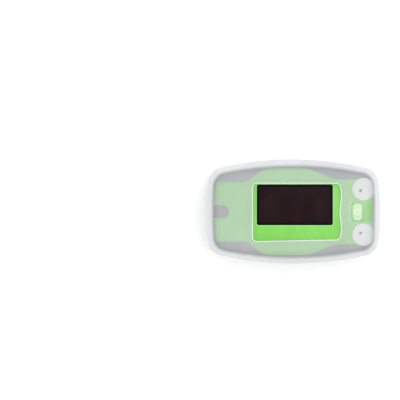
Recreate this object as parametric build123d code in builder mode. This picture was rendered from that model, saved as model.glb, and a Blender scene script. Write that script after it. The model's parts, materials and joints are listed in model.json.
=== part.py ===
from build123d import *
import os
from math import cos, radians, sin, sqrt, tan

# Fingertip pulse oximeter in a two-piece silicone cover.
# +X is the mouth where the finger goes in, -X is the tail that is pinched, +Z is up through the display.
# The origin is the centre of the bottom of the closed, covered instrument. All sizes are millimetres.

# ---- Overall envelope, cover on ----
length = 60.9
width = 36.4
height = 32.5
side_bow = 3.8
end_bow = 1.2
corner_radius = 5.5
top_edge_radius = 5.0
base_edge_radius = 3.0
least_edge_radius = 0.4
crown_rise = 1.1

# ---- Walls and clearances ----
cover_wall = 1.4
cover_clearance = 0.15
shell_wall = 1.8
inner_clearance = 0.1
fit_clearance = 0.15

# ---- Parting line and pinch wedge ----
parting_z = 20.3
parting_gap = 0.3
cover_edge_gap = 0.55
wedge_angle = 13.0
hinge_x = -14.0
deck_thickness = 2.2
deck_rib = 0.5

# ---- Hinge ----
pin_radius = 1.0
pin_bore_clearance = 0.05
pin_press_clearance = 0.02
lug_radius = 2.6
lower_lug_y = 9.9
upper_lug_y = 12.4
lug_thickness = 2.0
lug_side_gap = 0.25
spring_radius = 1.45
spring_wire = 0.5
spring_pitch = 0.6
spring_full_turns = 4
spring_leg = 5.2
spring_slot_half_width = 2.4
spring_slot_end = 0.6

# ---- Finger channel and pads ----
channel_half_width = 8.5
channel_rise = 4.2
channel_drop = 4.4
channel_back_x = -8.0
pad_wall = 1.0
pad_front_x = 26.9
pad_flange_half_width = 10.8
pad_flange = 1.0
mouth_margin = 0.8
sensor_x = 14.0
sensor_window = (5.0, 4.0)

# ---- Battery bay: two AAA cells side by side ----
cell_diameter = 10.3
cell_length = 44.5
cell_button_radius = 1.9
cell_button_height = 0.8
cell_spacing = 10.8
cell_clearance = 0.15
contact_room = 1.9
contact_plate = 0.3
contact_spring_radius = 2.4
contact_spring_wire = 0.4
contact_spring_turns = 1.75
bay_centre_x = 1.0
tray_wall = 0.8
tray_end_wall = 0.9
door_thickness = 1.2
door_half_width = 12.0
door_rail = 0.7
door_front_margin = 0.7
door_ridge_height = 0.5
door_ridge_count = 5
door_ridge_pitch = 1.8
door_cover_margin = 1.0

# ---- Opening in the upper cover over the display ----
window_tail_x = -14.2
window_head_x = 15.75
window_side_y = 9.8
window_near_y = 9.6
window_slope = 0.6
window_bulge = 0.5
window_bulge_y = 3.3
window_dip = 0.2
window_corner = 1.3

# ---- Lanyard eyelet in the tail ----
eyelet_x = -26.6
eyelet_radius = 1.1
eyelet_bottom_z = 13.0
eyelet_boss_half_width = 2.2
eyelet_boss_depth = 4.2
lanyard_pocket_half_width = 3.4
lanyard_pocket_bottom_z = 6.5
lanyard_pocket_front_x = -24.6
lanyard_pocket_wall = 1.2
lanyard_cover_margin = 0.8

# ---- Top panel, eyes, display and button ----
panel_thickness = 1.0
panel_margin = 0.15
panel_tail_x = -27.9
panel_tail_y = 10.4
panel_waist_x = -16.5
panel_belly_x0 = -10.0
panel_belly_x1 = 5.0
panel_belly_y = 15.2
panel_neck_x = 14.5
panel_head_x = 27.8
panel_head_y = 11.3
panel_radii = (1.5, 5.0, 5.0, 8.0, 12.0, 2.5)
panel_notch_length = 5.3
panel_notch_width = 4.5
eye_radius = 3.9
eye_x = 24.45
eye_y = 7.95
eye_thickness = 0.5
pupil_radius = 0.55
pupil_x = 23.4
pupil_y = 7.45
pupil_thickness = 0.3
lens_size = (26.4, 14.0)
lens_centre = (0.4, 2.45)
lens_corner = 0.7
lens_thickness = 0.9
lens_drop = 0.3
view_size = (23.2, 11.2)
oled_size = (25.6, 12.8, 1.2)
oled_gap = 0.2
board_thickness = 0.8
board_x = (-20.0, 25.6)
board_half_width = 11.4
board_gap = 0.35
peg_spots = ((-19.0, 8.5), (-19.0, -8.5), (16.0, 11.9), (16.0, -11.9))
peg_radius = 0.9
button_size = (3.75, 6.4)
button_x = 22.3
button_corner = 1.5
button_drop = 0.05
button_flange = 0.6
button_flange_thickness = 0.4
button_travel = 0.35
symbol_radius = 0.95
symbol_line = 0.32
symbol_depth = 0.2
button_clearance = 0.08
switch_size = (3.6, 3.6, 0.55)
plunger_radius = 0.9
plunger_gap = 0.02
emitter_size = (3.2, 2.4, 0.6)
diode_size = (3.0, 3.0, 0.6)
flex_board = (14.0, 7.0, 0.4)
screw_xs = (-7.5, 7.5)
screw_y = 12.75
post_radius = 1.2
post_clearance = 0.03
screw_head_radius = 1.15
screw_head_height = 0.7
screw_shank_radius = 0.6
screw_length = 5.0
screw_slot = 0.3

# ---- Levels and insets that follow from the sizes above ----
half_length = length / 2
half_width = width / 2
shell_inset = cover_wall + cover_clearance
inner_inset = shell_inset + shell_wall
frame_inset = inner_inset + inner_clearance
shell_base_z = shell_inset
door_top_z = shell_base_z + door_thickness
cell_z = door_top_z + 2 * cell_clearance + cell_diameter / 2
bay_roof_z = cell_z + cell_diameter / 2 + cell_clearance
tray_top_z = bay_roof_z + tray_wall
bay_half_length = cell_length / 2 + contact_room / 2
bay_half_width = cell_spacing / 2 + cell_diameter / 2 + cell_clearance
tray_half_length = bay_half_length + tray_end_wall
tray_half_width = bay_half_width + tray_wall
upper_pad_z = parting_z + channel_rise + pad_wall
board_z = upper_pad_z + board_gap
board_top_z = board_z + board_thickness
shell_top_z = height - shell_inset
roof_z = height - inner_inset
lens_top_z = shell_top_z - lens_drop
oled_top_z = roof_z - oled_gap - crown_rise * (oled_size[0] / length) ** 2
button_crown = crown_rise * (button_x / half_length) ** 2
button_top_z = shell_top_z - button_crown - button_drop
switch_top_z = board_top_z + switch_size[2]
plunger_top_z = switch_top_z + button_travel + 0.1
flange_bottom_z = plunger_top_z + plunger_gap
reach = length


def plan_outline(inset):
    """Plan view of the body: bowed sides and ends with rounded corners, drawn in by an inset."""
    first_x = half_length - end_bow
    first_y = half_width - side_bow
    side_arc = (first_x**2 + side_bow**2) / (2 * side_bow) - inset
    end_arc = (first_y**2 + end_bow**2) / (2 * end_bow) - inset
    reach_x = half_length - inset
    reach_y = half_width - inset
    corner_x = first_x - inset
    corner_y = first_y - inset
    # the corner is where the two arcs, each drawn in by the inset, meet
    for step in range(12):
        corner_x = reach_x - end_arc + sqrt(end_arc**2 - corner_y**2)
        corner_y = reach_y - side_arc + sqrt(side_arc**2 - corner_x**2)
    with BuildSketch() as outline:
        with BuildLine():
            ThreePointArc((-corner_x, -corner_y), (0, -reach_y), (corner_x, -corner_y))
            ThreePointArc((corner_x, -corner_y), (reach_x, 0), (corner_x, corner_y))
            ThreePointArc((corner_x, corner_y), (0, reach_y), (-corner_x, corner_y))
            ThreePointArc((-corner_x, corner_y), (-reach_x, 0), (-corner_x, -corner_y))
        make_face()
        fillet(outline.vertices(), max(corner_radius - inset, least_edge_radius))
    return outline.sketch


def prism(outline, bottom_z, top_z):
    """Straight prism of a plan sketch between two levels."""
    with BuildPart() as block:
        with BuildSketch(Plane.XY.offset(bottom_z)):
            add(outline)
        extrude(amount=top_z - bottom_z)
    return block.part


def upper_block(inset, bottom_z=0.0):
    """Solid upper body under the lengthwise crown, drawn in by an inset."""
    top_z = height - inset
    with BuildPart() as block:
        with BuildSketch(Plane.XY.offset(bottom_z)):
            add(plan_outline(inset))
        extrude(amount=top_z - bottom_z)
        with BuildSketch(Plane.XZ):
            with BuildLine():
                ThreePointArc(
                    (-half_length, top_z - crown_rise), (0, top_z), (half_length, top_z - crown_rise)
                )
                Polyline(
                    (half_length, top_z - crown_rise),
                    (half_length, -1),
                    (-half_length, -1),
                    (-half_length, top_z - crown_rise),
                )
            make_face()
        extrude(amount=width, both=True, mode=Mode.INTERSECT)
        top_edges = block.faces().sort_by(Axis.Z)[-1].edges()
        fillet(top_edges, max(top_edge_radius - inset, least_edge_radius))
    return block.part


def lower_block(inset, top_z):
    """Solid lower body with a flat, round-edged base, drawn in by an inset."""
    with BuildPart() as block:
        with BuildSketch(Plane.XY.offset(inset)):
            add(plan_outline(inset))
        extrude(amount=top_z - inset)
        base_edges = block.faces().sort_by(Axis.Z)[0].edges()
        fillet(base_edges, max(base_edge_radius - inset, least_edge_radius))
    return block.part


def half_space(side, gap, depth=0.0):
    """Side view of everything above (side 1) or below (side -1) the parting line and its tail wedge."""
    line_z = parting_z + side * (gap + depth)
    tail_z = line_z + side * (reach + hinge_x) * tan(radians(wedge_angle))
    far_z = parting_z + side * reach
    with BuildPart() as space:
        with BuildSketch(Plane.XZ):
            with BuildLine():
                Polyline(
                    (reach, line_z), (hinge_x, line_z), (-reach, tail_z), (-reach, far_z), (reach, far_z), close=True
                )
            make_face()
        extrude(amount=width, both=True)
    return space.part


def box_between(x0, x1, y0, y1, z0, z1):
    """Plain box between two corners."""
    with BuildPart() as block:
        with Locations(((x0 + x1) / 2, (y0 + y1) / 2, (z0 + z1) / 2)):
            Box(x1 - x0, y1 - y0, z1 - z0)
    return block.part


def channel(grow, x0, x1):
    """Finger channel: an oval tube, a little deeper below the parting line than above it."""
    with BuildPart() as tube:
        with BuildSketch(Plane.YZ.offset(x0)):
            with BuildLine():
                EllipticalCenterArc(
                    (0, parting_z), channel_half_width + grow, channel_rise + grow, start_angle=0, arc_size=180
                )
                EllipticalCenterArc(
                    (0, parting_z), channel_half_width + grow, channel_drop + grow, start_angle=180, arc_size=180
                )
            make_face()
        extrude(amount=x1 - x0)
    return tube.part


def across(radius, y0, y1, x=hinge_x, z=parting_z):
    """Cylinder along Y, on the hinge line unless placed elsewhere."""
    with BuildPart() as rod:
        with BuildSketch(Plane.XZ.offset(-y0)):
            with Locations((x, z)):
                Circle(radius)
        extrude(amount=-(y1 - y0))
    return rod.part


def panel_outline(grow):
    """Plan view of the coloured top panel: narrow tail, round belly and straight head."""
    with BuildSketch() as outline:
        with BuildLine() as side:
            FilletPolyline(
                (panel_tail_x, 0),
                (panel_tail_x, panel_tail_y),
                (panel_waist_x, panel_tail_y),
                (panel_belly_x0, panel_belly_y),
                (panel_belly_x1, panel_belly_y),
                (panel_neck_x, panel_head_y),
                (panel_head_x, panel_head_y),
                (panel_head_x, 0),
                radius=panel_radii,
            )
            mirror(side.line, about=Plane.XZ)
        make_face()
        if grow > 0:
            offset(amount=grow)
        add(plan_outline(shell_inset + panel_thickness + panel_margin - grow), mode=Mode.INTERSECT)
    return outline.sketch


def cover_window():
    """Plan view of the opening in the upper cover; its head side has two soft bulges."""
    with BuildSketch() as outline:
        with BuildLine():
            Spline(
                (window_head_x, window_side_y),
                (window_head_x + window_bulge, window_bulge_y),
                (window_head_x + window_dip, 0),
                (window_head_x + window_bulge, -window_bulge_y),
                (window_head_x, -window_near_y),
            )
            Polyline(
                (window_head_x, -window_near_y),
                (window_tail_x, -window_near_y - window_slope),
                (window_tail_x, window_side_y),
                (window_head_x, window_side_y),
            )
        make_face()
        fillet(outline.vertices(), window_corner)
    return outline.sketch


def cutter_above(outline, inset):
    """Everything of an outline that lies above the upper body drawn in by an inset."""
    with BuildPart() as cutter:
        add(prism(outline, roof_z - top_edge_radius, height + 1))
        add(upper_block(inset), mode=Mode.SUBTRACT)
    return cutter.part


def eye_outline(grow, inset):
    """Plan view of the two eye discs, trimmed by the edge of the body."""
    with BuildSketch() as outline:
        with Locations((eye_x, eye_y), (eye_x, -eye_y)):
            Circle(eye_radius + grow)
        add(plan_outline(inset), mode=Mode.INTERSECT)
    return outline.sketch


def pupil_outline(grow):
    """Plan view of the two pupils."""
    with BuildSketch() as outline:
        with Locations((pupil_x, pupil_y), (pupil_x, -pupil_y)):
            Circle(pupil_radius + grow)
    return outline.sketch


def rounded_plan(size, centre, radius, grow=0.0):
    """Rounded rectangle in plan."""
    with BuildSketch() as outline:
        with Locations(centre):
            RectangleRounded(size[0] + 2 * grow, size[1] + 2 * grow, radius + grow)
    return outline.sketch


def spots(places, radius):
    """Round plan spots at several places."""
    with BuildSketch() as outline:
        with Locations(places):
            Circle(radius)
    return outline.sketch


os.makedirs("parts", exist_ok=True)
screw_spots = [(x, side * screw_y) for x in screw_xs for side in (-1, 1)]
tray_x0 = bay_centre_x - tray_half_length
tray_x1 = bay_centre_x + tray_half_length
bay_x0 = bay_centre_x - bay_half_length
bay_x1 = bay_centre_x + bay_half_length
door_front_x = bay_x1 + door_front_margin
pad_back_x = channel_back_x - pad_wall
lower_deck_z = parting_z - parting_gap
upper_deck_z = parting_z + parting_gap
leg_slot_depth = spring_radius + spring_wire / 2 - parting_gap + 0.05
frame_plan = plan_outline(frame_inset)

# ======================= Lower clip =======================

with BuildPart() as lower_shell:
    add(lower_block(shell_inset, parting_z))
    with BuildPart(mode=Mode.SUBTRACT):
        add(lower_block(inner_inset, parting_z + 1))
    # screw posts and the closed tail block that holds the lanyard eyelet
    add(prism(spots(screw_spots, post_radius), inner_inset - 0.1, lower_deck_z - deck_thickness))
    tail_width = lanyard_pocket_half_width + lanyard_pocket_wall
    with BuildPart() as tail_block:
        add(
            box_between(
                -half_length + shell_inset + 0.6,
                lanyard_pocket_front_x + lanyard_pocket_wall,
                -tail_width,
                tail_width,
                lanyard_pocket_bottom_z - lanyard_pocket_wall,
                tray_top_z,
            )
        )
        add(half_space(-1, parting_gap, deck_thickness + inner_clearance), mode=Mode.INTERSECT)
    add(tail_block.part)
    add(
        box_between(
            -half_length + shell_inset + 0.6,
            eyelet_x + eyelet_boss_depth / 2,
            -eyelet_boss_half_width,
            eyelet_boss_half_width,
            eyelet_bottom_z,
            parting_z,
        )
    )
    add(half_space(-1, parting_gap), mode=Mode.INTERSECT)
    # finger mouth, slide-in slot of the battery door, tray seat, lanyard pocket and eyelet bore
    add(channel(mouth_margin, half_length - inner_inset - 3, reach), mode=Mode.SUBTRACT)
    door_slot = door_half_width + fit_clearance
    rail_slot = door_half_width + door_rail + fit_clearance
    rail_z = shell_base_z + door_thickness / 2
    add(box_between(-reach, door_front_x + fit_clearance, -door_slot, door_slot, 0, rail_z + 0.1), mode=Mode.SUBTRACT)
    add(
        box_between(
            -reach,
            door_front_x + fit_clearance,
            -rail_slot,
            rail_slot,
            rail_z - fit_clearance,
            door_top_z + fit_clearance,
        ),
        mode=Mode.SUBTRACT,
    )
    add(
        box_between(
            tray_x0 - fit_clearance,
            tray_x1 + fit_clearance,
            -tray_half_width - fit_clearance,
            tray_half_width + fit_clearance,
            door_top_z,
            inner_inset + 0.2,
        ),
        mode=Mode.SUBTRACT,
    )
    add(
        box_between(
            -reach,
            lanyard_pocket_front_x,
            -lanyard_pocket_half_width,
            lanyard_pocket_half_width,
            lanyard_pocket_bottom_z,
            eyelet_bottom_z,
        ),
        mode=Mode.SUBTRACT,
    )
    add(prism(spots([(eyelet_x, 0)], eyelet_radius), lanyard_pocket_bottom_z + 1, parting_z), mode=Mode.SUBTRACT)
    add(
        prism(spots(screw_spots, screw_shank_radius + 0.02), lower_deck_z - screw_length - 1.5, parting_z),
        mode=Mode.SUBTRACT,
    )
lower_shell.part.label = "lower_shell"
export_step(lower_shell.part, "parts/lower_shell.step")

with BuildPart() as lower_frame:
    # deck under the parting line, sloping down along the tail wedge
    add(prism(frame_plan, inner_inset, parting_z))
    add(half_space(-1, parting_gap), mode=Mode.INTERSECT)
    add(half_space(-1, parting_gap, deck_thickness), mode=Mode.SUBTRACT)
    # room for the pad and its flange, the coil and leg of the spring and the other half's lugs
    add(channel(pad_wall + fit_clearance, pad_back_x - fit_clearance, reach), mode=Mode.SUBTRACT)
    flange_slot = pad_flange_half_width + fit_clearance
    add(
        box_between(
            pad_back_x - fit_clearance,
            reach,
            -flange_slot,
            flange_slot,
            lower_deck_z - pad_flange - inner_clearance,
            parting_z,
        ),
        mode=Mode.SUBTRACT,
    )
    lug_slot_in = upper_lug_y - lug_thickness / 2 - lug_side_gap
    with Locations((hinge_x, lug_slot_in + half_width / 2, parting_z), (hinge_x, -lug_slot_in - half_width / 2, parting_z)):
        Box(2 * lug_radius + 0.8, half_width, 4 * deck_thickness, mode=Mode.SUBTRACT)
    coil_room = spring_radius + spring_wire / 2 + 0.5
    add(
        box_between(
            hinge_x - coil_room, hinge_x + coil_room, -spring_slot_half_width, spring_slot_half_width, tray_top_z, parting_z
        ),
        mode=Mode.SUBTRACT,
    )
    with BuildPart(mode=Mode.SUBTRACT):
        leg_end_x = hinge_x - spring_leg - spring_slot_end
        add(box_between(leg_end_x, hinge_x, -spring_slot_half_width, spring_slot_half_width, tray_top_z, parting_z))
        add(half_space(-1, parting_gap, leg_slot_depth), mode=Mode.SUBTRACT)
    add(
        box_between(
            -reach,
            eyelet_x + eyelet_boss_depth / 2 + fit_clearance,
            -eyelet_boss_half_width - fit_clearance,
            eyelet_boss_half_width + fit_clearance,
            eyelet_bottom_z,
            parting_z,
        ),
        mode=Mode.SUBTRACT,
    )
    # battery tray hanging under the deck, open below for the cells
    add(box_between(tray_x0, tray_x1, -tray_half_width, tray_half_width, door_top_z + fit_clearance, tray_top_z))
    add(prism(frame_plan, shell_base_z, parting_z), mode=Mode.INTERSECT)
    add(box_between(bay_x0, bay_x1, -bay_half_width, bay_half_width, 0, bay_roof_z), mode=Mode.SUBTRACT)
    # ribs that carry the deck on the tray
    for side in (-1, 1):
        rib_y = side * (max(flange_slot, channel_half_width + pad_wall + fit_clearance) + deck_rib / 2)
        add(
            box_between(
                hinge_x + lug_radius + 1,
                tray_x1 - 4,
                rib_y - deck_rib / 2,
                rib_y + deck_rib / 2,
                tray_top_z - 0.5,
                lower_deck_z - 0.5,
            )
        )
    add(
        prism(spots(screw_spots, post_radius + post_clearance), inner_inset, lower_deck_z - deck_thickness),
        mode=Mode.SUBTRACT,
    )
    # hinge lugs on legs that stand on the tray
    for side in (-1, 1):
        lug_y = side * lower_lug_y
        add(across(lug_radius, lug_y - lug_thickness / 2, lug_y + lug_thickness / 2))
        add(
            box_between(
                hinge_x - lug_radius,
                hinge_x + lug_radius,
                lug_y - lug_thickness / 2,
                lug_y + lug_thickness / 2,
                tray_top_z - 0.5,
                parting_z,
            )
        )
    add(across(pin_radius + pin_press_clearance, -half_width, half_width), mode=Mode.SUBTRACT)
    add(prism(spots(screw_spots, screw_shank_radius + 0.1), bay_roof_z, parting_z + 1), mode=Mode.SUBTRACT)
    add(
        prism(spots(screw_spots, screw_head_radius + 0.1), lower_deck_z - screw_head_height - 0.1, parting_z + 1),
        mode=Mode.SUBTRACT,
    )
lower_frame.part.label = "lower_frame"
export_step(lower_frame.part, "parts/lower_frame.step")

with BuildPart() as battery_door:
    add(box_between(-half_length, door_front_x, -door_half_width, door_half_width, shell_base_z, door_top_z))
    rail_y = door_half_width + door_rail
    add(box_between(-half_length, door_front_x, -rail_y, rail_y, shell_base_z + door_thickness / 2, door_top_z))
    add(lower_block(shell_inset, parting_z), mode=Mode.INTERSECT)
    ridge_x0 = -half_length + shell_inset + 2.5
    for step in range(door_ridge_count):
        ridge_x = ridge_x0 + step * door_ridge_pitch
        add(box_between(ridge_x, ridge_x + 0.8, -6, 6, shell_base_z - door_ridge_height, shell_base_z + 0.2))
battery_door.part.label = "battery_door"
export_step(battery_door.part, "parts/battery_door.step")

cell_x1 = bay_x1 - contact_plate
cell_x0 = cell_x1 - cell_length


def battery_cell(side, y):
    """AAA cell lying along X; its button points to +X (side 1) or -X (side -1)."""
    with BuildPart() as cell:
        with BuildSketch(Plane.YZ.offset(cell_x0)):
            with Locations((y, cell_z)):
                Circle(cell_diameter / 2)
        extrude(amount=cell_length - cell_button_height)
        fillet(cell.edges().filter_by(GeomType.CIRCLE), 0.4)
        with BuildSketch(Plane.YZ.offset(cell_x1 - cell_button_height)):
            with Locations((y, cell_z)):
                Circle(cell_button_radius)
        extrude(amount=cell_button_height)
        if side < 0:
            mirror(about=Plane.YZ.offset(bay_centre_x), mode=Mode.REPLACE)
    return cell.part


with BuildPart() as battery_cell_a:
    add(battery_cell(1, cell_spacing / 2))
battery_cell_a.part.label = "battery_cell_a"
export_step(battery_cell_a.part, "parts/battery_cell_a.step")

with BuildPart() as battery_cell_b:
    add(battery_cell(-1, -cell_spacing / 2))
battery_cell_b.part.label = "battery_cell_b"
export_step(battery_cell_b.part, "parts/battery_cell_b.step")

plate_half = cell_diameter / 2 - 0.9
with BuildPart() as battery_contacts:
    # one bridge plate at the tail end and two separate plates at the mouth end
    bridge_half = cell_spacing / 2 + plate_half
    add(box_between(bay_x0, bay_x0 + contact_plate, -bridge_half, bridge_half, cell_z - plate_half, cell_z + plate_half))
    for side in (-1, 1):
        plate_y = side * cell_spacing / 2
        add(
            box_between(
                bay_x1 - contact_plate,
                bay_x1,
                plate_y - plate_half,
                plate_y + plate_half,
                cell_z - plate_half,
                cell_z + plate_half,
            )
        )
battery_contacts.part.label = "battery_contacts"
export_step(battery_contacts.part, "parts/battery_contacts.step")

spring_room = 2 * bay_half_length - 2 * contact_plate - cell_length
coil_height = spring_room - contact_spring_wire - 0.04
with BuildPart() as battery_springs:
    for end_x, side in ((bay_x0 + contact_plate, 1), (bay_x1 - contact_plate, -1)):
        coil_x = end_x + side * (contact_spring_wire / 2 + 0.02)
        with BuildLine(mode=Mode.PRIVATE) as coil:
            Helix(
                pitch=coil_height / contact_spring_turns,
                height=coil_height,
                radius=contact_spring_radius,
                center=(coil_x, side * cell_spacing / 2, cell_z),
                direction=(side, 0, 0),
            )
        with BuildSketch(Plane(origin=coil.line.edge() @ 0, z_dir=coil.line.edge() % 0)):
            Circle(contact_spring_wire / 2)
        sweep(path=coil.line.edge(), is_frenet=True)
battery_springs.part.label = "battery_springs"
export_step(battery_springs.part, "parts/battery_springs.step")


def finger_pad(side):
    """Soft channel lining of one half with its flange, back wall and sensor hole."""
    deck_z = parting_z + side * parting_gap
    back_x = pad_back_x
    with BuildPart() as pad:
        add(channel(pad_wall, back_x, pad_front_x))
        flange_half = pad_flange_half_width
        add(
            box_between(
                back_x,
                pad_front_x,
                -flange_half,
                flange_half,
                min(deck_z, deck_z + side * pad_flange),
                max(deck_z, deck_z + side * pad_flange),
            )
        )
        add(channel(0, channel_back_x, reach), mode=Mode.SUBTRACT)
        add(prism(frame_plan, 0, height), mode=Mode.INTERSECT)
        add(half_space(side, parting_gap), mode=Mode.INTERSECT)
        window = rounded_plan(sensor_window, (sensor_x, 0), 0.6)
        add(prism(window, min(deck_z, deck_z + side * reach), max(deck_z, deck_z + side * reach)), mode=Mode.SUBTRACT)
    return pad.part


with BuildPart() as lower_finger_pad:
    add(finger_pad(-1))
lower_finger_pad.part.label = "lower_finger_pad"
export_step(lower_finger_pad.part, "parts/lower_finger_pad.step")

with BuildPart() as sensor_board:
    add(
        box_between(
            sensor_x - flex_board[0] / 2,
            sensor_x + flex_board[0] / 2,
            -flex_board[1] / 2,
            flex_board[1] / 2,
            tray_top_z,
            tray_top_z + flex_board[2],
        )
    )
sensor_board.part.label = "sensor_board"
export_step(sensor_board.part, "parts/sensor_board.step")

diode_z = tray_top_z + flex_board[2]
with BuildPart() as photodiode:
    with Locations((sensor_x, 0, diode_z + diode_size[2] / 2)):
        Box(*diode_size)
photodiode.part.label = "photodiode"
export_step(photodiode.part, "parts/photodiode.step")

with BuildPart() as photodiode_window:
    add(prism(rounded_plan(sensor_window, (sensor_x, 0), 0.6, -0.05), diode_z + diode_size[2] + 0.05, parting_z))
    add(channel(0.05, channel_back_x, reach), mode=Mode.SUBTRACT)
photodiode_window.part.label = "photodiode_window"
export_step(photodiode_window.part, "parts/photodiode_window.step")

pin_half = upper_lug_y + lug_thickness / 2 - 0.1
with BuildPart() as hinge_pin:
    add(across(pin_radius, -pin_half, pin_half))
    chamfer(hinge_pin.edges().filter_by(GeomType.CIRCLE), 0.2)
hinge_pin.part.label = "hinge_pin"
export_step(hinge_pin.part, "parts/hinge_pin.step")

# torsion spring: a coil round the pin whose two legs run to the tail along the wedge
tilt = radians(wedge_angle)
spring_turns = spring_full_turns + 0.5 - 2 * wedge_angle / 360
coil_half = spring_pitch * spring_turns / 2
coil_plane = Plane(origin=(hinge_x, coil_half, parting_z), x_dir=(sin(tilt), 0, -cos(tilt)), z_dir=(0, -1, 0))
with BuildPart() as torsion_spring:
    with BuildLine(mode=Mode.PRIVATE) as winding:
        Helix(pitch=spring_pitch, height=2 * coil_half, radius=spring_radius)
    coil_path = coil_plane.from_local_coords(winding.line.edge())
    with BuildSketch(Plane(origin=coil_path @ 0, z_dir=coil_path % 0)):
        Circle(spring_wire / 2)
    extrude(amount=-spring_leg)
    with BuildSketch(Plane(origin=coil_path @ 0, z_dir=coil_path % 0)):
        Circle(spring_wire / 2)
    sweep(path=coil_path, is_frenet=True)
    with BuildSketch(Plane(origin=coil_path @ 1, z_dir=coil_path % 1)):
        Circle(spring_wire / 2)
    extrude(amount=spring_leg)
torsion_spring.part.label = "torsion_spring"
export_step(torsion_spring.part, "parts/torsion_spring.step")


def screw_set(side):
    """Four small pan screws; their heads sit in the deck of one half."""
    deck_z = parting_z + side * parting_gap
    head_plane = Plane(origin=(0, 0, deck_z + side * 0.05), z_dir=(0, 0, side))
    with BuildPart() as screws:
        with BuildSketch(head_plane):
            with Locations([(x, y * side) for x, y in screw_spots]):
                Circle(screw_head_radius)
        extrude(amount=screw_head_height)
        with BuildSketch(head_plane):
            with Locations([(x, y * side) for x, y in screw_spots]):
                Circle(screw_shank_radius)
        extrude(amount=screw_head_height + screw_length)
        with BuildSketch(head_plane):
            with Locations([(x, y * side) for x, y in screw_spots]):
                Rectangle(1.5, screw_slot)
                Rectangle(screw_slot, 1.5)
        extrude(amount=0.35, mode=Mode.SUBTRACT)
    return screws.part


with BuildPart() as lower_screws:
    add(screw_set(-1))
lower_screws.part.label = "lower_screws"
export_step(lower_screws.part, "parts/lower_screws.step")

with BuildPart() as lower_cover:
    add(lower_block(0, parting_z))
    with BuildPart(mode=Mode.SUBTRACT):
        add(lower_block(cover_wall, parting_z + 1))
    add(half_space(-1, cover_edge_gap), mode=Mode.INTERSECT)
    add(channel(mouth_margin + cover_clearance, half_length - inner_inset - 3, reach), mode=Mode.SUBTRACT)
    # the floor is open over the battery door and out through the tail, so that the door can slide off
    open_y = door_half_width + door_rail + door_cover_margin
    add(
        box_between(
            -reach, door_front_x + door_cover_margin, -open_y, open_y, -1, door_top_z + fit_clearance + door_cover_margin
        ),
        mode=Mode.SUBTRACT,
    )
    pocket_y = lanyard_pocket_half_width + lanyard_cover_margin
    with BuildSketch(Plane.YZ.offset(-half_length - 1)):
        with Locations((0, (lanyard_pocket_bottom_z + eyelet_bottom_z) / 2)):
            RectangleRounded(
                2 * pocket_y, eyelet_bottom_z - lanyard_pocket_bottom_z + 2 * lanyard_cover_margin, 1.2
            )
    extrude(amount=corner_radius, mode=Mode.SUBTRACT)
lower_cover.part.label = "lower_cover"
export_step(lower_cover.part, "parts/lower_cover.step")

# ======================= Upper clip =======================

panel_inset = shell_inset + panel_thickness
eye_inset = shell_inset + eye_thickness
pupil_inset = shell_inset + pupil_thickness
eye_margin = 0.05

with BuildPart() as upper_shell:
    add(upper_block(shell_inset, parting_z))
    add(upper_block(inner_inset), mode=Mode.SUBTRACT)
    add(prism(spots(screw_spots, post_radius), upper_deck_z + deck_thickness, roof_z + 0.4))
    add(half_space(1, parting_gap), mode=Mode.INTERSECT)
    add(channel(mouth_margin, half_length - inner_inset - 3, reach), mode=Mode.SUBTRACT)
    add(
        prism(spots(screw_spots, screw_shank_radius + 0.02), parting_z, upper_deck_z + screw_length + 1.5),
        mode=Mode.SUBTRACT,
    )
    # seats for the top panel and eyes, ledge of the display lens, view opening and button hole
    add(cutter_above(panel_outline(inner_clearance), panel_inset), mode=Mode.SUBTRACT)
    add(cutter_above(eye_outline(inner_clearance, eye_inset + eye_margin), eye_inset), mode=Mode.SUBTRACT)
    lens_seat = rounded_plan(lens_size, lens_centre, lens_corner, fit_clearance)
    add(prism(lens_seat, lens_top_z - lens_thickness, height), mode=Mode.SUBTRACT)
    add(prism(rounded_plan(view_size, lens_centre, lens_corner), parting_z, height), mode=Mode.SUBTRACT)
    button_hole = rounded_plan(button_size, (button_x, 0), button_corner, button_clearance)
    add(prism(button_hole, parting_z + channel_rise + pad_wall, height), mode=Mode.SUBTRACT)
upper_shell.part.label = "upper_shell"
export_step(upper_shell.part, "parts/upper_shell.step")

with BuildPart() as top_panel:
    add(upper_block(shell_inset))
    add(cutter_above(panel_outline(0), panel_inset), mode=Mode.INTERSECT)
    add(cutter_above(eye_outline(inner_clearance, eye_inset + eye_margin), eye_inset), mode=Mode.SUBTRACT)
    add(prism(lens_seat, parting_z, height), mode=Mode.SUBTRACT)
    add(prism(button_hole, parting_z, height), mode=Mode.SUBTRACT)
    # round-ended notch in the tail edge, where the shell below shows
    notch_half = panel_notch_width / 2
    with BuildSketch(Plane.XY.offset(parting_z)):
        with Locations((panel_tail_x + panel_notch_length - notch_half, 0)):
            Circle(notch_half)
        with Locations((panel_tail_x + (panel_notch_length - notch_half) / 2 - 1, 0)):
            Rectangle(panel_notch_length - notch_half + 2, panel_notch_width)
    extrude(amount=height, mode=Mode.SUBTRACT)
top_panel.part.label = "top_panel"
export_step(top_panel.part, "parts/top_panel.step")

with BuildPart() as eye_discs:
    add(upper_block(shell_inset))
    add(cutter_above(eye_outline(0, eye_inset + eye_margin), eye_inset), mode=Mode.INTERSECT)
    add(cutter_above(pupil_outline(0.02), pupil_inset), mode=Mode.SUBTRACT)
eye_discs.part.label = "eye_discs"
export_step(eye_discs.part, "parts/eye_discs.step")

with BuildPart() as eye_pupils:
    add(upper_block(shell_inset))
    add(cutter_above(pupil_outline(0), pupil_inset), mode=Mode.INTERSECT)
eye_pupils.part.label = "eye_pupils"
export_step(eye_pupils.part, "parts/eye_pupils.step")

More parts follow.
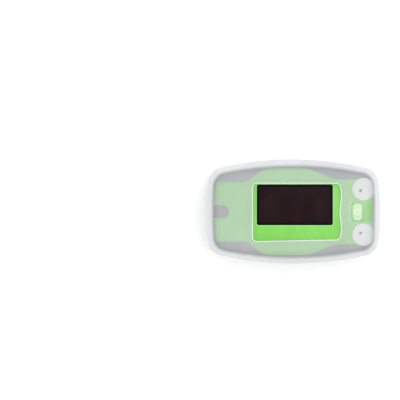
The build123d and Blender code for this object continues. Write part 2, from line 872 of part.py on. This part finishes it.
with BuildPart() as display_lens:
    add(prism(rounded_plan(lens_size, lens_centre, lens_corner), lens_top_z - lens_thickness, lens_top_z))
    chamfer(display_lens.faces().sort_by(Axis.Z)[-1].edges(), 0.15)
display_lens.part.label = "display_lens"
export_step(display_lens.part, "parts/display_lens.step")

with BuildPart() as display_module:
    with Locations((lens_centre[0], lens_centre[1], oled_top_z - oled_size[2] / 2)):
        Box(*oled_size)
display_module.part.label = "display_module"
export_step(display_module.part, "parts/display_module.step")

oled_bottom_z = oled_top_z - oled_size[2]
with BuildPart() as display_cushion:
    with Locations((lens_centre[0], lens_centre[1], (board_top_z + oled_bottom_z) / 2)):
        Box(oled_size[0] - 1, oled_size[1] - 1, oled_bottom_z - board_top_z)
        Box(oled_size[0] - 4, oled_size[1] - 4, oled_bottom_z - board_top_z, mode=Mode.SUBTRACT)
display_cushion.part.label = "display_cushion"
export_step(display_cushion.part, "parts/display_cushion.step")

with BuildPart() as main_board:
    add(box_between(board_x[0], board_x[1], -board_half_width, board_half_width, board_z, board_top_z))
    add(prism(frame_plan, parting_z, height), mode=Mode.INTERSECT)
main_board.part.label = "main_board"
export_step(main_board.part, "parts/main_board.step")

with BuildPart() as board_parts:
    for place, size in (
        ((-16.6, 3.4), (4.8, 4.8, 0.9)),
        ((-16.4, -3.6), (3.2, 2.5, 0.8)),
        ((-16.4, -7.6), (2.0, 1.25, 0.7)),
        ((-16.4, 7.9), (2.0, 1.25, 0.7)),
        ((16.6, 4.6), (1.6, 0.8, 0.6)),
        ((16.6, 2.6), (1.6, 0.8, 0.6)),
        ((16.6, -2.6), (2.9, 1.3, 0.9)),
        ((16.6, -5.6), (1.6, 0.8, 0.6)),
    ):
        with Locations((place[0], place[1], board_top_z + size[2] / 2)):
            Box(*size)
board_parts.part.label = "board_parts"
export_step(board_parts.part, "parts/board_parts.step")

with BuildPart() as switch_body:
    with Locations((button_x, 0, board_top_z + switch_size[2] / 2)):
        Box(*switch_size)
    add(prism(spots([(button_x, 0)], plunger_radius + 0.05), board_top_z + 0.05, height), mode=Mode.SUBTRACT)
switch_body.part.label = "switch_body"
export_step(switch_body.part, "parts/switch_body.step")

with BuildPart() as switch_plunger:
    plunger_bottom_z = board_top_z + 0.05 + button_travel + 0.05
    add(prism(spots([(button_x, 0)], plunger_radius), plunger_bottom_z, plunger_top_z))
switch_plunger.part.label = "switch_plunger"
export_step(switch_plunger.part, "parts/switch_plunger.step")

with BuildPart() as power_button:
    flange_plan = rounded_plan(button_size, (button_x, 0), button_corner, button_flange)
    add(prism(flange_plan, flange_bottom_z, flange_bottom_z + button_flange_thickness))
    add(prism(rounded_plan(button_size, (button_x, 0), button_corner), flange_bottom_z, button_top_z))
    fillet(power_button.faces().sort_by(Axis.Z)[-1].edges(), 0.4)
    # shallow seat for the symbol: a ring open at one side with a bar through the gap
    symbol_plane = Plane.XY.offset(button_top_z)
    with BuildSketch(symbol_plane) as symbol_seat:
        with Locations((button_x, 0)):
            Circle(symbol_radius + symbol_line / 2)
            Circle(symbol_radius - symbol_line / 2, mode=Mode.SUBTRACT)
        with Locations((button_x + symbol_radius, 0)):
            Rectangle(symbol_radius, 2.4 * symbol_line, mode=Mode.SUBTRACT)
            Rectangle(symbol_radius, symbol_line)
    extrude(amount=-symbol_depth, mode=Mode.SUBTRACT)
power_button.part.label = "power_button"
export_step(power_button.part, "parts/power_button.step")

with BuildPart() as button_symbol:
    with BuildSketch(symbol_plane.offset(-symbol_depth)):
        add(symbol_seat.sketch_local)
    extrude(amount=symbol_depth)
button_symbol.part.label = "button_symbol"
export_step(button_symbol.part, "parts/button_symbol.step")

with BuildPart() as upper_frame:
    # deck over the parting line, rising along the tail wedge
    add(prism(frame_plan, parting_z, roof_z - 0.5))
    add(half_space(1, parting_gap), mode=Mode.INTERSECT)
    add(half_space(1, parting_gap, deck_thickness), mode=Mode.SUBTRACT)
    add(channel(pad_wall + fit_clearance, pad_back_x - fit_clearance, reach), mode=Mode.SUBTRACT)
    add(
        box_between(
            pad_back_x - fit_clearance,
            reach,
            -flange_slot,
            flange_slot,
            parting_z,
            upper_deck_z + pad_flange + inner_clearance,
        ),
        mode=Mode.SUBTRACT,
    )
    for side in (-1, 1):
        lug_y = side * lower_lug_y
        lug_room = lug_thickness / 2 + lug_side_gap
        add(
            box_between(
                hinge_x - lug_radius - 0.4,
                hinge_x + lug_radius + 0.4,
                lug_y - lug_room,
                lug_y + lug_room,
                parting_z,
                parting_z + 2 * deck_thickness,
            ),
            mode=Mode.SUBTRACT,
        )
    add(
        box_between(
            hinge_x - coil_room,
            hinge_x + coil_room,
            -spring_slot_half_width,
            spring_slot_half_width,
            parting_z,
            parting_z + 2 * deck_thickness,
        ),
        mode=Mode.SUBTRACT,
    )
    with BuildPart(mode=Mode.SUBTRACT):
        add(
            box_between(
                leg_end_x,
                hinge_x,
                -spring_slot_half_width,
                spring_slot_half_width,
                parting_z,
                parting_z + 3 * deck_thickness,
            )
        )
        add(half_space(1, parting_gap, leg_slot_depth), mode=Mode.SUBTRACT)
    # pegs that carry the circuit board
    with BuildPart():
        add(prism(spots(peg_spots, peg_radius), parting_z + 1.5, board_z))
        add(half_space(1, parting_gap + 0.2), mode=Mode.INTERSECT)
    # lugs outside those of the lower half
    for side in (-1, 1):
        lug_y = side * upper_lug_y
        add(across(lug_radius, lug_y - lug_thickness / 2, lug_y + lug_thickness / 2))
        add(
            box_between(
                hinge_x - lug_radius,
                hinge_x + lug_radius,
                lug_y - lug_thickness / 2,
                lug_y + lug_thickness / 2,
                parting_z,
                upper_deck_z + deck_thickness,
            )
        )
    add(prism(frame_plan, 0, height), mode=Mode.INTERSECT)
    add(across(pin_radius + pin_bore_clearance, -half_width, half_width), mode=Mode.SUBTRACT)
    add(prism(spots(screw_spots, screw_shank_radius + 0.1), parting_z, roof_z), mode=Mode.SUBTRACT)
    add(
        prism(spots(screw_spots, screw_head_radius + 0.1), parting_z, upper_deck_z + screw_head_height + 0.1),
        mode=Mode.SUBTRACT,
    )
upper_frame.part.label = "upper_frame"
export_step(upper_frame.part, "parts/upper_frame.step")

with BuildPart() as upper_finger_pad:
    add(finger_pad(1))
upper_finger_pad.part.label = "upper_finger_pad"
export_step(upper_finger_pad.part, "parts/upper_finger_pad.step")

emitter_z = board_z - emitter_size[2]
with BuildPart() as light_emitter:
    with Locations((sensor_x, 0, emitter_z + emitter_size[2] / 2)):
        Box(*emitter_size)
light_emitter.part.label = "light_emitter"
export_step(light_emitter.part, "parts/light_emitter.step")

with BuildPart() as emitter_window:
    add(prism(rounded_plan(sensor_window, (sensor_x, 0), 0.6, -0.05), parting_z, emitter_z - 0.05))
    add(channel(0.05, channel_back_x, reach), mode=Mode.SUBTRACT)
emitter_window.part.label = "emitter_window"
export_step(emitter_window.part, "parts/emitter_window.step")

with BuildPart() as upper_screws:
    add(screw_set(1))
upper_screws.part.label = "upper_screws"
export_step(upper_screws.part, "parts/upper_screws.step")

with BuildPart() as upper_cover:
    add(upper_block(0, parting_z))
    add(upper_block(cover_wall), mode=Mode.SUBTRACT)
    add(half_space(1, cover_edge_gap), mode=Mode.INTERSECT)
    add(channel(mouth_margin + cover_clearance, half_length - inner_inset - 3, reach), mode=Mode.SUBTRACT)
    add(prism(cover_window(), roof_z - top_edge_radius, height + 1), mode=Mode.SUBTRACT)
upper_cover.part.label = "upper_cover"
export_step(upper_cover.part, "parts/upper_cover.step")
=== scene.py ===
import json
from math import cos, radians, sin

import bmesh
import bpy
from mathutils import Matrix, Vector


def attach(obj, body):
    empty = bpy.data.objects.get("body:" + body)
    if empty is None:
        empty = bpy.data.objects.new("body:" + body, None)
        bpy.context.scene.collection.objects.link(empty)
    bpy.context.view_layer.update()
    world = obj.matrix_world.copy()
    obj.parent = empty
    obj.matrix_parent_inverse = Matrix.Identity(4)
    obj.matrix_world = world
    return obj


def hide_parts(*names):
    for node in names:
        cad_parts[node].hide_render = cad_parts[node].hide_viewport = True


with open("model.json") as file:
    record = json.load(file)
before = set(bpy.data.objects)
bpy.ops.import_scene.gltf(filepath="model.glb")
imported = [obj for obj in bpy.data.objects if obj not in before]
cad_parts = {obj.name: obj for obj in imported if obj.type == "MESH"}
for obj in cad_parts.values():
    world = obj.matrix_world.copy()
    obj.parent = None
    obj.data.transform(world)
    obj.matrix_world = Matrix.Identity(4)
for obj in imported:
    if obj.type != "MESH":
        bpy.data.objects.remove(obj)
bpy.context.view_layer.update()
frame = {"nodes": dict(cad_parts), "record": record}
MM = 0.001

# ---------------------------------------------------------------- sizes shared with the model, in metres
HEIGHT = 32.5 * MM
HALF_LENGTH = 30.45 * MM
HALF_WIDTH = 18.2 * MM
SIDE_BOW = 3.8 * MM
END_BOW = 1.2 * MM
CORNER = 5.5 * MM
CROWN = 1.1 * MM
SHELL_INSET = 1.55 * MM
LENS_CENTRE = (0.4 * MM, 2.45 * MM)
LENS_HALF = (13.2 * MM, 7.0 * MM)

# ---------------------------------------------------------------- sizes and strengths of the looks
SAME_POINT = 0.001 * MM
FLAT_ANGLE = radians(0.4)
CREASE_ANGLE = radians(35)
COVER_EDGE = 0.36 * MM
LOWER_EDGE = 0.3 * MM
LOWER_EDGE_FROM = 5.0 * MM
PAD_EDGE = 0.2 * MM
BEAD_REACH = 0.42 * MM
BEAD_CORNER = 0.9 * MM
BEAD_WIDTH = 0.3 * MM
BEAD_HEIGHT = 0.3 * MM
BEAD_EDGE = 0.1 * MM
BEAD_SINK = 0.17 * MM
# how much of the light one wall of the silicone stops, from 0 to 1, and what changes it
MILK_TOP = 0.272
MILK_RIM = 0.54
MILK_SIDE = 0.27
MILK_POCKET = 0.14
# the milkier, whiter line left of the button is a painted highlight of a ridge
MILK_RIDGE_HIGHLIGHT = 0.12


def crown_level(x, inset):
    """Height of the crowned top at x, for a layer drawn in by an inset."""
    return HEIGHT - inset - CROWN * (x / HALF_LENGTH) ** 2


# ---------------------------------------------------------------- finishes
class Value:
    """A number socket that can be used in ordinary arithmetic."""

    def __init__(self, finish, socket):
        self.finish = finish
        self.socket = socket

    def __add__(self, other):
        return self.finish.maths("ADD", self, other)

    def __radd__(self, other):
        return self.finish.maths("ADD", other, self)

    def __sub__(self, other):
        return self.finish.maths("SUBTRACT", self, other)

    def __rsub__(self, other):
        return self.finish.maths("SUBTRACT", other, self)

    def __mul__(self, other):
        return self.finish.maths("MULTIPLY", self, other)

    def __rmul__(self, other):
        return self.finish.maths("MULTIPLY", other, self)

    def __truediv__(self, other):
        return self.finish.maths("DIVIDE", self, other)

    def __pow__(self, other):
        return self.finish.maths("POWER", self, other)


class Finish:
    """One procedural material on a Principled shader."""

    def __init__(self, name, **surface):
        self.material = bpy.data.materials.new(name)
        self.material.use_nodes = True
        self.tree = self.material.node_tree
        self.tree.nodes.clear()
        self.shader = self.node("ShaderNodeBsdfPrincipled", {}, {})
        for key, value in surface.items():
            self.feed(self.shader.inputs[key.replace("_", " ").title().replace("Ior", "IOR")], value)
        self.node("ShaderNodeOutputMaterial", {}, {"Surface": self.shader.outputs["BSDF"]})
        self.place = self.node("ShaderNodeTexCoord", {}, {}).outputs["Object"]

    def feed(self, socket, value):
        """Sets a socket to a constant, or links a value or an output to it."""
        if isinstance(value, Value):
            self.tree.links.new(value.socket, socket)
        elif isinstance(value, bpy.types.NodeSocket):
            self.tree.links.new(value, socket)
        elif isinstance(value, tuple) and len(value) == 3 and socket.type == "RGBA":
            socket.default_value = (*value, 1.0)
        else:
            socket.default_value = value

    def node(self, kind, settings, sockets):
        """Adds any node: its type, its settings and what its sockets hold."""
        made = self.tree.nodes.new(kind)
        for key, value in settings.items():
            setattr(made, key, value)
        for key, value in sockets.items():
            self.feed(made.inputs[key], value)
        return made

    def maths(self, operation, a, b=0.0):
        made = self.node("ShaderNodeMath", {"operation": operation}, {0: a, 1: b})
        return Value(self, made.outputs[0])

    def size_of(self, value):
        """The value without its sign."""
        return self.maths("ABSOLUTE", value)

    def axes(self):
        """The place on the piece as three numbers, in millimetres."""
        parts = self.node("ShaderNodeSeparateXYZ", {}, {"Vector": self.place})
        return [Value(self, parts.outputs[i]) * 1000.0 for i in range(3)]

    def mottle(self, size_mm, detail=3.0, roughness=0.55, stretch=(1.0, 1.0, 1.0)):
        """Soft random variation from 0 to 1 whose patches are about size_mm across."""
        mapping = self.node("ShaderNodeMapping", {}, {"Vector": self.place, "Scale": stretch})
        made = self.node(
            "ShaderNodeTexNoise",
            {},
            {
                "Vector": mapping.outputs["Vector"],
                "Scale": 1000.0 / size_mm,
                "Detail": detail,
                "Roughness": roughness,
            },
        )
        return Value(self, made.outputs[0])

    def band(self, value, low, high):
        """0 below low, 1 above high and a smooth slope between."""
        made = self.node(
            "ShaderNodeMapRange",
            {"interpolation_type": "SMOOTHSTEP"},
            {"Value": value, "From Min": low, "From Max": high, "To Min": 0.0, "To Max": 1.0},
        )
        return Value(self, made.outputs["Result"])

    def blend(self, factor, first, second):
        """A colour between two colours."""
        made = self.node("ShaderNodeMix", {"data_type": "RGBA"}, {0: factor, 6: first, 7: second})
        return made.outputs[2]

    def colour(self, value):
        self.feed(self.shader.inputs["Base Color"], value)

    def rough(self, value):
        self.feed(self.shader.inputs["Roughness"], value)

    def relief(self, height, depth_mm):
        """Bump from a height of 0 to 1 that is depth_mm deep."""
        sockets = {"Height": height, "Distance": depth_mm * MM, "Strength": 1.0}
        bump = self.node("ShaderNodeBump", {}, sockets)
        self.feed(self.shader.inputs["Normal"], bump.outputs["Normal"])


def moulded(name, light, dark, rough, grain_mm, grain_depth, **surface):
    """Moulded plastic: faint flow clouds, a fine eroded grain and handling marks in the gloss."""
    finish = Finish(name, **surface)
    clouds = finish.mottle(6.0, 2.0)
    grain = finish.mottle(grain_mm, 2.0, 0.6)
    rubs = finish.mottle(2.2, 4.0, 0.65, (1.0, 0.35, 1.0))
    finish.colour(finish.blend(finish.band(clouds * 0.75 + grain * 0.25, 0.32, 0.68), dark, light))
    finish.rough(rough + (rubs - 0.5) * 0.16)
    finish.relief(grain * 0.7 + rubs * 0.3, grain_depth)
    return finish.material


def silicone_cover():
    """Frosted silicone, clearer over the flat top and milky where it turns down thickly at the rim, with
    a painted highlight line before the button.
    """
    finish = Finish("frosted_silicone", ior=1.41, specular_ior_level=0.3)
    x, y, z = finish.axes()
    clouds = finish.mottle(11.0, 2.0)
    grain = finish.mottle(0.16, 2.0, 0.6)
    drag = finish.mottle(3.0, 4.0, 0.6, (0.4, 1.0, 1.0))
    along = x / (HALF_LENGTH / MM)
    over = y / (HALF_WIDTH / MM)
    drop = HEIGHT / MM - CROWN / MM * along * along - z  # depth below the crowned top
    # distance in from the bowed outline, rounded at the corners
    from_side = HALF_WIDTH / MM - SIDE_BOW / MM * along * along - finish.size_of(y)
    from_end = HALF_LENGTH / MM - END_BOW / MM * over * over - finish.size_of(x)
    side_reach = finish.maths("MAXIMUM", CORNER / MM - from_side, 0.0)
    end_reach = finish.maths("MAXIMUM", CORNER / MM - from_end, 0.0)
    inward = CORNER / MM - (side_reach * side_reach + end_reach * end_reach) ** 0.5
    rim = 1.0 - finish.band(inward, 1.2, 2.9)
    wall = finish.band(drop, 4.5, 8.0)
    # the wall is thin in a shallow pocket over the button; a fine line before it is milkier, a painted
    # highlight of a ridge
    off_button, off_middle = finish.size_of(x - 23.9), finish.size_of(y)
    pocket = (1.0 - finish.band(off_button, 2.7, 4.4)) * (1.0 - finish.band(off_middle, 2.6, 4.3))
    painted_ridge_highlight = finish.band(x, 19.35, 19.6) * (1.0 - finish.band(x, 19.75, 20.0))
    painted_ridge_highlight = painted_ridge_highlight * (1.0 - finish.band(off_middle, 3.2, 4.2))
    milk = MILK_TOP + (clouds - 0.5) * 0.05 + rim * MILK_RIM - wall * rim * MILK_SIDE
    milk = milk - pocket * (1.0 - rim) * MILK_POCKET + painted_ridge_highlight * MILK_RIDGE_HIGHLIGHT
    finish.feed(finish.shader.inputs["Alpha"], milk)
    light, pale = (0.765, 0.785, 0.795), (0.81, 0.825, 0.83)
    finish.colour(finish.blend(finish.band(clouds, 0.3, 0.7), light, pale))
    finish.rough(0.4 + (drag - 0.5) * 0.2)
    finish.relief(grain * 0.6 + clouds * 0.4, 0.01)
    return finish.material


def silicone_lip_painted_highlight():
    """The rounded cut edges of the silicone, whiter and milkier than the cover: partly thicker silicone,
    partly a painted highlight.
    """
    finish = Finish("silicone_lip_painted_highlight", ior=1.41, specular_ior_level=0.4, alpha=0.78)
    clouds = finish.mottle(5.0, 2.0)
    grain = finish.mottle(0.2, 2.0)
    light, pale = (0.87, 0.885, 0.88), (0.93, 0.94, 0.935)
    finish.colour(finish.blend(finish.band(clouds, 0.3, 0.7), light, pale))
    finish.rough(0.34 + grain * 0.12)
    finish.relief(grain, 0.006)
    return finish.material


def pad_silicone():
    """Matte dark silicone of a finger pad: fine cross ribs, a dry bloom and worn shine."""
    finish = Finish("pad_silicone", specular_ior_level=0.35)
    along = finish.axes()[0]
    bloom = finish.mottle(3.5, 3.0)
    grain = finish.mottle(0.25, 2.0, 0.6)
    ribs = finish.maths("SINE", along * 7.5) * 0.5 + 0.5
    clean, bloomed = (0.034, 0.036, 0.04), (0.06, 0.062, 0.067)
    finish.colour(finish.blend(finish.band(bloom, 0.35, 0.7), clean, bloomed))
    finish.rough(0.62 + (bloom - 0.5) * 0.2)
    finish.relief(ribs * 0.6 + grain * 0.4, 0.05)
    return finish.material


def display_glass():
    """Dark display lens: a black printed border round a slightly brown, softly clouded field."""
    finish = Finish("display_glass", ior=1.49, specular_ior_level=0.05)
    x, y = finish.axes()[:2]
    off_length = finish.size_of(x - LENS_CENTRE[0] * 1000)
    off_width = finish.size_of(y - LENS_CENTRE[1] * 1000)
    ends, sides = finish.band(off_length, 12.35, 12.6), finish.band(off_width, 6.15, 6.4)
    border = finish.maths("MAXIMUM", ends, sides)
    weave = finish.mottle(7.0, 3.0, 0.6, (1.0, 0.6, 1.0))
    dark, brown = (0.012, 0.0045, 0.0065), (0.021, 0.0075, 0.0095)
    field = finish.blend(finish.band(weave, 0.35, 0.7), dark, brown)
    finish.colour(finish.blend(border, field, (0.0025, 0.0025, 0.003)))
    smears = finish.mottle(4.0, 5.0, 0.7, (0.3, 1.0, 1.0))
    finish.rough(0.07 + smears * 0.1 + border * 0.05)
    finish.relief(smears, 0.002)
    return finish.material


def bright_metal(name, light, dark, rough):
    """Nickel-plated steel with fine drawn lines."""
    finish = Finish(name, metallic=1.0)
    lines = finish.mottle(0.5, 4.0, 0.6, (0.15, 1.0, 1.0))
    stains = finish.mottle(2.5, 3.0)
    finish.colour(finish.blend(finish.band(stains, 0.35, 0.75), light, dark))
    finish.rough(rough + (lines - 0.5) * 0.2)
    finish.relief(lines, 0.004)
    return finish.material


def circuit_lacquer():
    """Green solder lacquer over copper tracks."""
    finish = Finish("circuit_lacquer", coat_weight=0.4)
    across = finish.axes()[1]
    tracks = finish.maths("SINE", across * 5.2 + finish.mottle(9.0, 1.0) * 6.0)
    board, copper = (0.012, 0.12, 0.045), (0.03, 0.24, 0.09)
    finish.colour(finish.blend(finish.band(tracks, 0.55, 0.8), board, copper))
    finish.rough(0.32 + finish.mottle(1.5) * 0.12)
    finish.relief(finish.band(tracks, 0.5, 0.85), 0.02)
    return finish.material


def battery_jacket():
    """Printed sleeve of a dry cell: dark body, a coloured end band and fine sheen."""
    finish = Finish("battery_jacket", metallic=0.35, coat_weight=0.3)
    band = finish.band(finish.axes()[0], 10.0, 10.3)
    speckle = finish.mottle(0.8, 3.0)
    body = finish.blend(speckle, (0.03, 0.032, 0.035), (0.055, 0.058, 0.062))
    finish.colour(finish.blend(band, body, (0.45, 0.26, 0.07)))
    finish.rough(0.3 + speckle * 0.12)
    finish.relief(speckle, 0.006)
    return finish.material


# name, light colour, dark colour, roughness, grain size and grain depth in millimetres
PLASTICS = {
    "shell_grey": (
        "shell_grey_plastic",
        (0.185, 0.205, 0.242), (0.15, 0.167, 0.2), 0.46, 0.22, 0.014,
    ),
    "frame_grey": (
        "frame_grey_plastic",
        (0.15, 0.156, 0.165), (0.118, 0.122, 0.13), 0.55, 0.25, 0.02,
    ),
    "button_green": (
        "button_pale_green",
        (0.63, 0.93, 0.5), (0.56, 0.88, 0.43), 0.34, 0.25, 0.006,
    ),
    "symbol_white": (
        "symbol_ink",
        (0.95, 0.98, 0.93), (0.88, 0.95, 0.86), 0.5, 0.2, 0.006,
    ),
    "eye_white": (
        "eye_white_plastic",
        (0.86, 0.875, 0.87), (0.8, 0.82, 0.815), 0.28, 0.3, 0.005,
    ),
    "pupil_dark": (
        "pupil_dark_plastic",
        (0.045, 0.045, 0.05), (0.025, 0.025, 0.03), 0.3, 0.2, 0.004,
    ),
    "dark_resin": (
        "dark_resin",
        (0.03, 0.03, 0.033), (0.016, 0.016, 0.018), 0.5, 0.2, 0.012,
    ),
    "foam_black": (
        "foam_black",
        (0.03, 0.03, 0.031), (0.014, 0.014, 0.015), 0.85, 0.35, 0.08,
    ),
    "emitter_white": (
        "emitter_white",
        (0.78, 0.75, 0.68), (0.7, 0.67, 0.6), 0.4, 0.2, 0.005,
    ),
}
PANEL_GREEN = ("panel_green_plastic", (0.2, 0.635, 0.074), (0.17, 0.58, 0.058), 0.3, 0.3, 0.006)
CLEAR_WINDOW = ("clear_window", (0.8, 0.78, 0.77), (0.72, 0.7, 0.69), 0.14, 0.3, 0.003)
# the bead is paler green than the panel: a painted highlight of the display window's chamfered edge
BEAD_HIGHLIGHT_GREEN = ("display_bead_painted_highlight", (0.4, 0.85, 0.25), (0.33, 0.8, 0.2), 0.3, 0.25, 0.005)

finishes = {slot: moulded(*look) for slot, look in PLASTICS.items()}
finishes["panel_green"] = moulded(*PANEL_GREEN, coat_weight=0.25, coat_roughness=0.12)
finishes["clear_window"] = moulded(*CLEAR_WINDOW, transmission_weight=0.75, ior=1.5)
finishes["display_gloss"] = display_glass()
finishes["pad_rubber"] = pad_silicone()
finishes["cover_silicone"] = silicone_cover()
finishes["nickel_steel"] = bright_metal("nickel_steel", (0.68, 0.67, 0.64), (0.5, 0.49, 0.47), 0.26)
finishes["circuit_board"] = circuit_lacquer()
finishes["cell_jacket"] = battery_jacket()
lip_highlight = silicone_lip_painted_highlight()

slots = {part["node"]: part["material_slot"] for part in frame["record"]["subparts"]}
for node_name, slot in slots.items():
    node = frame["nodes"][node_name]
    node.data.materials.clear()
    node.data.materials.append(finishes[slot])


# ---------------------------------------------------------------- soft pieces with rounded edges
def softened(node_name, body, radius, sharp, lowest=0.0, edge_finish=None):
    """Copy of a soft node with its sharp edges rounded, whose bands may have their own finish."""
    node = frame["nodes"][node_name]
    form = bmesh.new()
    form.from_mesh(node.data)
    bmesh.ops.remove_doubles(form, verts=form.verts, dist=SAME_POINT)
    bmesh.ops.dissolve_limit(
        form, angle_limit=FLAT_ANGLE, verts=form.verts, edges=form.edges, delimit=set()
    )
    for face in form.faces:
        face.material_index = 0
    edges = [
        edge
        for edge in form.edges
        if edge.calc_face_angle(0.0) > radians(sharp)
        and min(end.co.z for end in edge.verts) >= lowest
    ]
    rounded = bmesh.ops.bevel(
        form,
        geom=edges,
        offset=radius,
        offset_type="OFFSET",
        affect="EDGES",
        segments=3,
        profile=0.5,
        material=-1,
        clamp_overlap=False,
    )
    for face in form.faces:
        face.smooth = True
    if edge_finish:
        for face in rounded["faces"]:
            face.material_index = 1
    for edge in form.edges:
        if edge.calc_face_angle(0.0) > CREASE_ANGLE:
            edge.smooth = False
    piece_mesh = bpy.data.meshes.new(node_name + "_soft")
    form.to_mesh(piece_mesh)
    form.free()
    piece = bpy.data.objects.new(node_name + "_soft", piece_mesh)
    bpy.context.collection.objects.link(piece)
    piece_mesh.materials.append(node.data.materials[0])
    if edge_finish:
        piece_mesh.materials.append(edge_finish)
    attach(piece, body)
    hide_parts(node_name)


# the rounded edge bands of both covers take the paler, milkier lip finish: partly thicker silicone,
# partly a painted highlight
softened("upper_cover", "upper_clip", COVER_EDGE, 38, edge_finish=lip_highlight)
softened("lower_cover", "lower_clip", LOWER_EDGE, 60, LOWER_EDGE_FROM, lip_highlight)
softened("upper_finger_pad", "upper_clip", PAD_EDGE, 38)
softened("lower_finger_pad", "lower_clip", PAD_EDGE, 38)

# ---------------------------------------------------------------- bead round the display, in a paler green than the panel: a painted highlight of the window's chamfered edge
bead_form = bmesh.new()
bmesh.ops.create_grid(bead_form, x_segments=1, y_segments=1, size=1.0)
bead_half = [half + BEAD_REACH for half in LENS_HALF]
bmesh.ops.scale(bead_form, vec=(*bead_half, 1.0), verts=bead_form.verts)
bmesh.ops.translate(bead_form, vec=(*LENS_CENTRE, 0.0), verts=bead_form.verts)
bmesh.ops.bevel(
    bead_form,
    geom=bead_form.verts[:],
    offset=BEAD_CORNER,
    affect="VERTICES",
    segments=5,
    profile=0.5,
    material=-1,
)
bmesh.ops.inset_region(
    bead_form,
    faces=bead_form.faces[:],
    thickness=BEAD_WIDTH,
    use_boundary=True,
    use_even_offset=True,
)
inner = max(bead_form.faces, key=lambda face: face.calc_area())
bmesh.ops.delete(bead_form, geom=[inner], context="FACES_ONLY")
risen = bmesh.ops.extrude_face_region(bead_form, geom=bead_form.faces[:])
top = [part for part in risen["geom"] if isinstance(part, bmesh.types.BMVert)]
bmesh.ops.translate(bead_form, vec=(0.0, 0.0, BEAD_HEIGHT), verts=top)
bmesh.ops.recalc_face_normals(bead_form, faces=bead_form.faces)
top_edges = [
    edge
    for edge in bead_form.edges
    if all(end.co.z > BEAD_HEIGHT / 2 for end in edge.verts)
    and edge.calc_face_angle(0.0) > radians(40)
]
bmesh.ops.bevel(
    bead_form,
    geom=top_edges,
    offset=BEAD_EDGE,
    affect="EDGES",
    segments=2,
    profile=0.5,
    material=-1,
)
# the middle cut lets the long sides follow the crown
bmesh.ops.bisect_plane(
    bead_form,
    geom=bead_form.verts[:] + bead_form.edges[:] + bead_form.faces[:],
    plane_co=(LENS_CENTRE[0], 0.0, 0.0),
    plane_no=(1.0, 0.0, 0.0),
)
for end in bead_form.verts:
    end.co.z += crown_level(end.co.x, SHELL_INSET) - BEAD_SINK
for face in bead_form.faces:
    face.smooth = True
for edge in bead_form.edges:
    if edge.calc_face_angle(0.0) > radians(50):
        edge.smooth = False
bead_mesh = bpy.data.meshes.new("display_bead")
bead_form.to_mesh(bead_mesh)
bead_form.free()
display_bead = bpy.data.objects.new("display_bead", bead_mesh)
bpy.context.collection.objects.link(display_bead)
bead_mesh.materials.append(moulded(*BEAD_HIGHLIGHT_GREEN))
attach(display_bead, "upper_clip")

# ---------------------------------------------------------------- stage, light and camera
floor_mesh = bpy.data.meshes.new("table_top")
sheet = bmesh.new()
bmesh.ops.create_grid(sheet, x_segments=1, y_segments=1, size=3.0)
sheet.to_mesh(floor_mesh)
sheet.free()
floor = bpy.data.objects.new("table_top", floor_mesh)
bpy.context.collection.objects.link(floor)
white = Finish("table_white", specular_ior_level=0.2, emission_strength=0.2)
paper = white.mottle(40.0, 2.0)
white.colour(white.blend(paper, (0.93, 0.93, 0.93), (0.95, 0.95, 0.95)))
white.rough(0.8 + paper * 0.1)
floor.data.materials.append(white.material)


def softbox(name, place, aim, size, power):
    """Large square studio light aimed at a point."""
    light = bpy.data.lights.new(name, "AREA")
    light.shape = "SQUARE"
    light.size = size
    light.energy = power
    lamp = bpy.data.objects.new(name, light)
    lamp.location = place
    lamp.rotation_euler = (Vector(aim) - Vector(place)).to_track_quat("-Z", "Y").to_euler()
    bpy.context.collection.objects.link(lamp)


MIDDLE = (0.0, 0.0, 0.02)
softbox("softbox_top", (0.1, 0.22, 0.75), MIDDLE, 0.5, 1.7)
softbox("softbox_left", (-0.7, -0.15, 0.45), MIDDLE, 0.4, 0.7)
softbox("softbox_right", (0.65, -0.3, 0.4), MIDDLE, 0.4, 0.6)
world = bpy.data.worlds.new("studio")
world.use_nodes = True
background = world.node_tree.nodes["Background"]
background.inputs["Color"].default_value = (1.0, 1.0, 1.0, 1.0)
background.inputs["Strength"].default_value = 0.8
bpy.context.scene.world = world
bpy.context.scene.view_settings.view_transform = "Standard"

# the camera looks down almost squarely at a point level with the upper edge of the clip
CAMERA_DISTANCE = 1.4
CAMERA_TILT = radians(0.8)
VIEW_CENTRE = (-32.7 * MM, 4.1 * MM)
VIEW_LEVEL = 28.0 * MM
VIEW_WIDTH = 140.0 * MM
SENSOR_WIDTH = 36.0

camera_data = bpy.data.cameras.new("camera")
camera_data.sensor_width = SENSOR_WIDTH
reach = CAMERA_DISTANCE - VIEW_LEVEL
camera_data.lens = SENSOR_WIDTH * reach / VIEW_WIDTH
camera_data.clip_end = 20.0
camera = bpy.data.objects.new("camera", camera_data)
camera.location = (
    VIEW_CENTRE[0],
    VIEW_CENTRE[1] + reach * sin(CAMERA_TILT),
    CAMERA_DISTANCE * cos(CAMERA_TILT),
)
camera.rotation_euler = (-CAMERA_TILT, 0.0, 0.0)
bpy.context.collection.objects.link(camera)
bpy.context.scene.camera = camera
